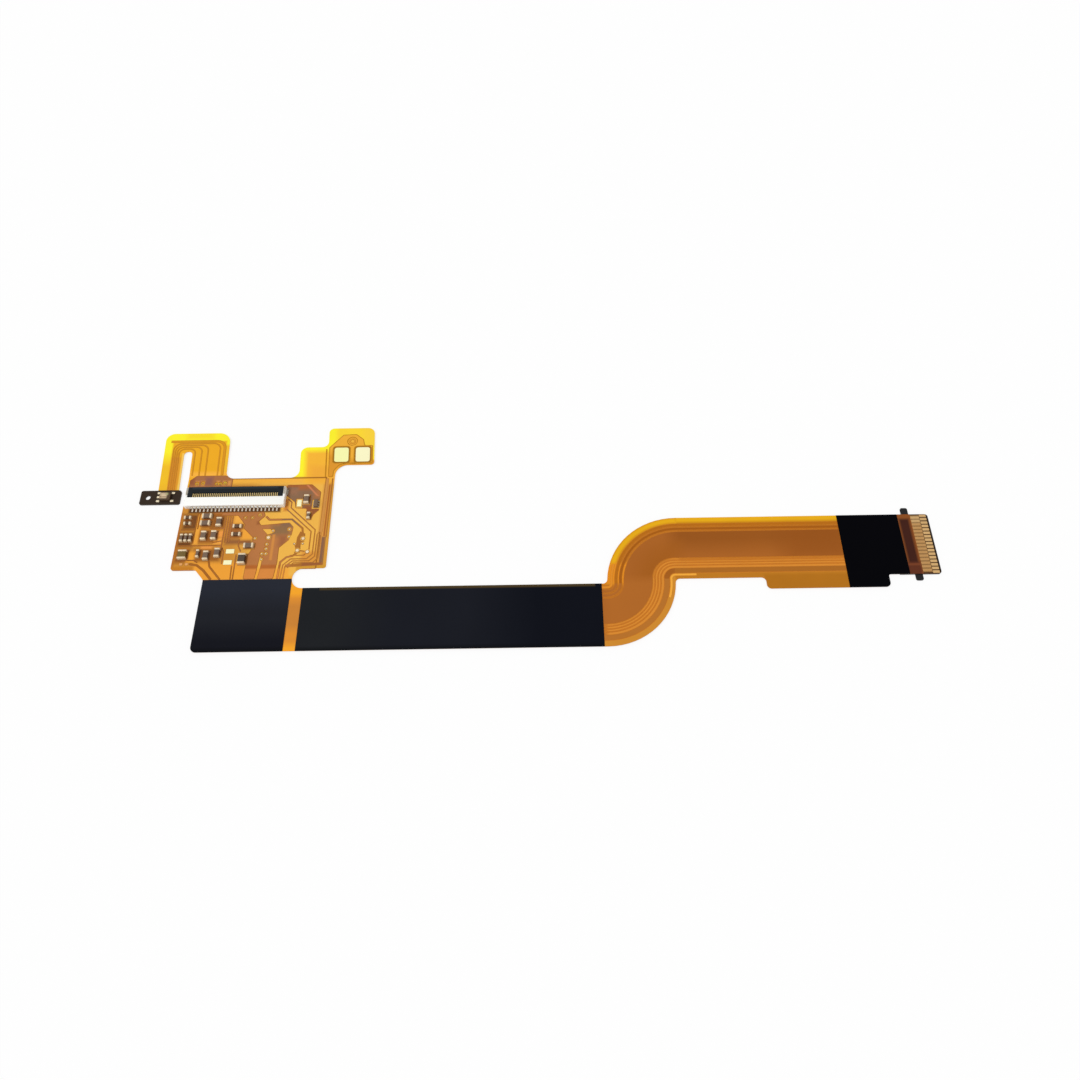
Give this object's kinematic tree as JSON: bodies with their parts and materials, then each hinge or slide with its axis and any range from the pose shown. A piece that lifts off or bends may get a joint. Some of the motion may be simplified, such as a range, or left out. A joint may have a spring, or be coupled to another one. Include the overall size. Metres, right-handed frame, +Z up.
{
  "type": "flat flex cable",
  "caption": "Flat S-bent flexible circuit with a component board, a flip-lock connector, a side loop with a sensor tab, a ground tab and a gold contact tail.",
  "frame": {"origin": "middle of the contact tail's leading edge, at the cable's underside", "axes": "+X runs along the cable and out through the contact tail, +Y runs across the cable towards the loop and the ground tab, +Z points up from the underside to the component side"},
  "size_m": [0.1231, 0.0388, 0.0014],
  "materials": {
    "film": "amber polyimide film, smooth",
    "stiffener": "thick amber polyimide plate",
    "tail_stiffener": "black plate, satin",
    "shield": "black shielding film, satin",
    "covered_copper": "copper under amber coverlay, satin",
    "coverlay": "dark reddish coverlay, satin",
    "gold": "gold plating, satin",
    "solder": "tinned, satin",
    "housing": "off-white moulded plastic",
    "actuator": "black moulded plastic, satin",
    "contact": "plated spring metal, satin",
    "sensor": "tan moulded resin",
    "black_chip": "black moulded resin",
    "grey_chip": "dark grey ferrite",
    "ceramic": "brown ceramic"
  },
  "bodies": {
    "cable": {"bend_copper": "covered_copper", "bend_fine_traces": "covered_copper", "board_copper": "covered_copper", "board_stiffener": "stiffener", "board_vias": "gold", "capacitor_1": "ceramic", "capacitor_10": "ceramic", "capacitor_11": "ceramic", "capacitor_12": "ceramic", "capacitor_13": "ceramic", "capacitor_14": "ceramic", "capacitor_2": "ceramic", "capacitor_3": "ceramic", "capacitor_4": "ceramic", "capacitor_5": "ceramic", "capacitor_6": "ceramic", "capacitor_7": "ceramic", "capacitor_8": "ceramic", "capacitor_9": "ceramic", "coil_1": "grey_chip", "connector_contacts": "contact", "connector_housing": "housing", "connector_nail_left": "contact", "connector_nail_right": "contact", "diode_1": "black_chip", "flex_film": "film", "ground_pad_left": "gold", "ground_pad_right": "gold", "ground_via": "gold", "level_driver": "black_chip", "loop_copper": "covered_copper", "resistor_1": "black_chip", "resistor_2": "black_chip", "resistor_3": "black_chip", "resistor_4": "black_chip", "sensor_body": "sensor", "sensor_stiffener": "stiffener", "sensor_terminals": "solder", "shield_left": "shield", "shield_long": "shield", "shield_right": "shield", "solder_pads": "solder", "spare_pads": "gold", "tab_copper": "covered_copper", "tail_coverlay": "coverlay", "tail_fingers": "gold", "tail_stiffener": "tail_stiffener", "tear_guards": "covered_copper"},
    "lock_bar": {"connector_actuator": "actuator"}
  },
  "joints": [
    {"name": "lock_flip", "type": "hinge", "parent": "cable", "child": "lock_bar", "pos_m": [-0.10778, 0.00984, 0.00107], "axis": [1, 0, 0], "range_deg": [0, 90]}
  ]
}
